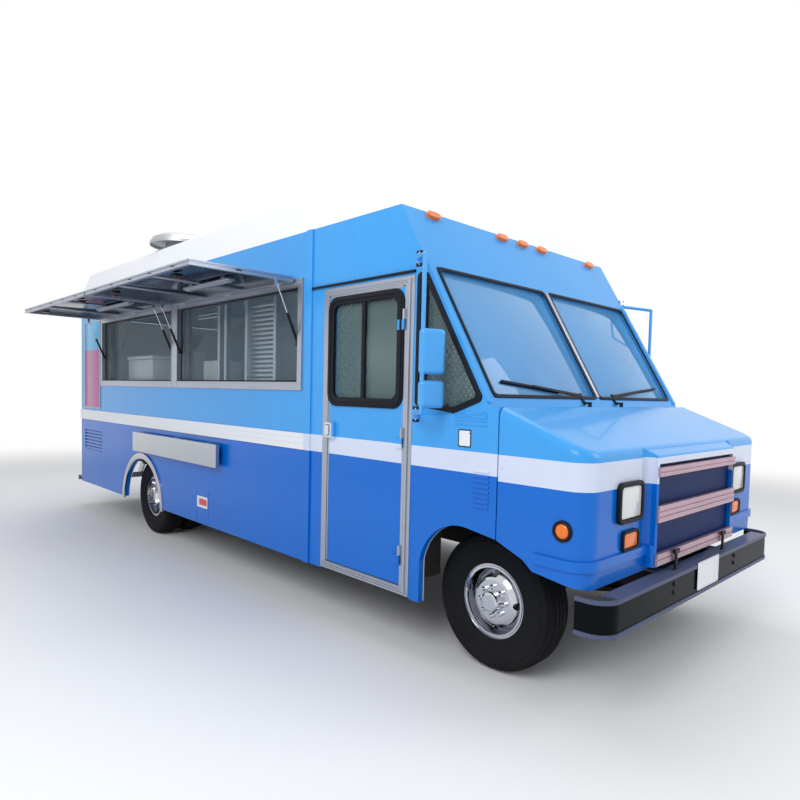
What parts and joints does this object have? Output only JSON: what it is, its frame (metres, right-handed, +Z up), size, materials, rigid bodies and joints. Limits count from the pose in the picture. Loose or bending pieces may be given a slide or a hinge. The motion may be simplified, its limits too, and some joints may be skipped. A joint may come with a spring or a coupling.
{
  "type": "food truck",
  "caption": "Step-van food truck with a serving window under two lift-up awnings, hinged cab and rear doors, tilting nose, steered front wheels and twin rear wheels.",
  "frame": {"origin": "on the ground under the middle of the vehicle's bounding box, with the awnings open", "axes": "+X forward, +Y to the vehicle's left, +Z up"},
  "size_m": [7.482, 3.3319, 3.1899],
  "materials": {
    "sky_paint": "gloss",
    "royal_paint": "gloss",
    "two_blue_paint": "gloss, royal blue below the white stripe",
    "white_paint": "gloss",
    "aluminium": "satin",
    "stainless": "brushed",
    "bright": "polished",
    "black_steel": "semi gloss",
    "dark_frame": "matt",
    "cast": "rough",
    "rubber": "matt",
    "glass": "clear, lightly tinted",
    "lamp_glass": "moulded",
    "amber": "moulded lens",
    "grey_plastic": "grained",
    "vinyl": "grained vinyl",
    "navy_mesh": "mesh",
    "floor_sheet": "worn tread plate"
  },
  "bodies": {
    "vehicle": {"floor": "floor_sheet", "wheel_houses": "floor_sheet", "step_wells": "floor_sheet", "chassis_frame": "dark_frame", "engine_block": "cast", "right_wall_lower": "royal_paint", "right_wall_upper": "sky_paint", "left_wall": "two_blue_paint", "louvre_vents": "royal_paint", "rear_wall": "two_blue_paint", "roof_cap": "white_paint", "cab_front": "sky_paint", "cab_side_right": "two_blue_paint", "cab_side_left": "two_blue_paint", "metal_frames": "aluminium", "fixed_glass": "glass", "rub_rails": "white_paint", "arch_trims": "bright", "front_bumper": "black_steel", "rear_bumper": "stainless", "front_axle": "dark_frame", "rear_axle": "dark_frame", "underbody": "dark_frame", "mirrors": "sky_paint", "marker_lamps": "amber", "wipers": "black_steel", "roof_vent": "stainless", "driver_seat": "vinyl", "dashboard": "grey_plastic", "kitchen_counter": "stainless", "cooking_line": "stainless"},
    "nose": {"hood_shell": "two_blue_paint", "hood_grille": "navy_mesh", "hood_lamps": "lamp_glass"},
    "knuckle_right": {"knuckle_right": "cast"},
    "knuckle_left": {"knuckle_left": "cast"},
    "steering_wheel": {"steering_wheel": "grey_plastic"},
    "front_wheel_right": {"front_wheel_right": "stainless", "front_tyre_right": "rubber"},
    "front_wheel_left": {"front_wheel_left": "stainless", "front_tyre_left": "rubber"},
    "rear_wheels_right": {"rear_wheels_right": "stainless", "rear_tyres_right": "rubber"},
    "rear_wheels_left": {"rear_wheels_left": "stainless", "rear_tyres_left": "rubber"},
    "cab_door_right": {"cab_door_right": "two_blue_paint", "door_glass_right": "glass"},
    "cab_door_left": {"cab_door_left": "two_blue_paint", "door_glass_left": "glass"},
    "rear_door_right": {"rear_door_right": "two_blue_paint"},
    "rear_door_left": {"rear_door_left": "two_blue_paint"},
    "awning_rear": {"awning_rear": "aluminium"},
    "awning_front": {"awning_front": "aluminium"},
    "awning_rear_cylinders": {"awning_rear_cylinders": "black_steel"},
    "awning_front_cylinders": {"awning_front_cylinders": "black_steel"},
    "awning_rear_rods": {"awning_rear_rods": "bright"},
    "awning_front_rods": {"awning_front_rods": "bright"},
    "shelf": {"shelf": "stainless"}
  },
  "joints": [
    {"name": "steer_right", "type": "hinge", "parent": "vehicle", "child": "knuckle_right", "pos_m": [2.922, -0.40109, 0.395], "axis": [0, 0, 1], "range_deg": [-30, 30]},
    {"name": "front_wheel_right_spin", "type": "hinge", "parent": "knuckle_right", "child": "front_wheel_right", "pos_m": [2.922, -0.55609, 0.395], "axis": [0, 1, 0], "continuous": true},
    {"name": "rear_wheels_right_spin", "type": "hinge", "parent": "vehicle", "child": "rear_wheels_right", "pos_m": [-1.548, -0.52359, 0.395], "axis": [0, 1, 0], "continuous": true},
    {"name": "cab_door_right_hinge", "type": "hinge", "parent": "vehicle", "child": "cab_door_right", "pos_m": [2.398, -0.88709, 1.3], "axis": [0, 0, 1], "range_deg": [0, 85]},
    {"name": "rear_door_right_hinge", "type": "hinge", "parent": "vehicle", "child": "rear_door_right", "pos_m": [-3.552, -0.40109, 1.6], "axis": [0, 0, 1], "range_deg": [0, 165]},
    {"name": "steer_left", "type": "hinge", "parent": "vehicle", "child": "knuckle_left", "pos_m": [2.922, 0.99891, 0.395], "axis": [0, 0, 1], "range_deg": [-30, 30]},
    {"name": "front_wheel_left_spin", "type": "hinge", "parent": "knuckle_left", "child": "front_wheel_left", "pos_m": [2.922, 1.15391, 0.395], "axis": [0, 1, 0], "continuous": true},
    {"name": "rear_wheels_left_spin", "type": "hinge", "parent": "vehicle", "child": "rear_wheels_left", "pos_m": [-1.548, 1.12141, 0.395], "axis": [0, 1, 0], "continuous": true},
    {"name": "cab_door_left_hinge", "type": "hinge", "parent": "vehicle", "child": "cab_door_left", "pos_m": [2.398, 1.48491, 1.3], "axis": [0, 0, -1], "range_deg": [0, 85]},
    {"name": "rear_door_left_hinge", "type": "hinge", "parent": "vehicle", "child": "rear_door_left", "pos_m": [-3.552, 0.99891, 1.6], "axis": [0, 0, -1], "range_deg": [0, 165]},
    {"name": "steering_wheel_turn", "type": "hinge", "parent": "vehicle", "child": "steering_wheel", "pos_m": [2.592, 0.94391, 1.44], "axis": [-0.5736, 0, 0.8192], "range_deg": [-480, 480]},
    {"name": "nose_tilt", "type": "hinge", "parent": "vehicle", "child": "nose", "pos_m": [3.108, 0.29891, 1.4965], "axis": [0, -1, 0], "range_deg": [0, 45]},
    {"name": "awning_rear_hinge", "type": "hinge", "parent": "vehicle", "child": "awning_rear", "pos_m": [-1.778, -0.89109, 2.33], "axis": [1, 0, 0], "range_deg": [0, 90]},
    {"name": "awning_rear_cylinder_swing", "type": "hinge", "parent": "vehicle", "child": "awning_rear_cylinders", "pos_m": [-1.778, -0.86109, 1.89], "axis": [1, 0, 0], "range_deg": [-25.95, 0]},
    {"name": "awning_rear_rod_slide", "type": "slide", "parent": "awning_rear_cylinders", "child": "awning_rear_rods", "axis": [0, -0.4061, 0.9138], "range_m": [-0.15516, 0]},
    {"name": "awning_front_hinge", "type": "hinge", "parent": "vehicle", "child": "awning_front", "pos_m": [0.258, -0.89109, 2.33], "axis": [1, 0, 0], "range_deg": [0, 90]},
    {"name": "awning_front_cylinder_swing", "type": "hinge", "parent": "vehicle", "child": "awning_front_cylinders", "pos_m": [0.258, -0.86109, 1.89], "axis": [1, 0, 0], "range_deg": [-25.95, 0]},
    {"name": "awning_front_rod_slide", "type": "slide", "parent": "awning_front_cylinders", "child": "awning_front_rods", "axis": [0, -0.4061, 0.9138], "range_m": [-0.15516, 0]},
    {"name": "shelf_hinge", "type": "hinge", "parent": "vehicle", "child": "shelf", "pos_m": [-0.708, -0.90859, 1.08], "axis": [-1, 0, 0], "range_deg": [0, 90]}
  ],
  "couplings": [
    {"joint": "steer_left", "follows": "steer_right", "ratio": 1},
    {"joint": "steering_wheel_turn", "follows": "steer_right", "ratio": 16},
    {"joint": "awning_rear_cylinder_swing", "follows": "awning_rear_hinge", "ratio": -0.27722},
    {"joint": "awning_rear_rod_slide", "follows": "awning_rear_hinge", "m_per_rad": -0.097502},
    {"joint": "awning_front_cylinder_swing", "follows": "awning_front_hinge", "ratio": -0.27722},
    {"joint": "awning_front_rod_slide", "follows": "awning_front_hinge", "m_per_rad": -0.097502}
  ]
}
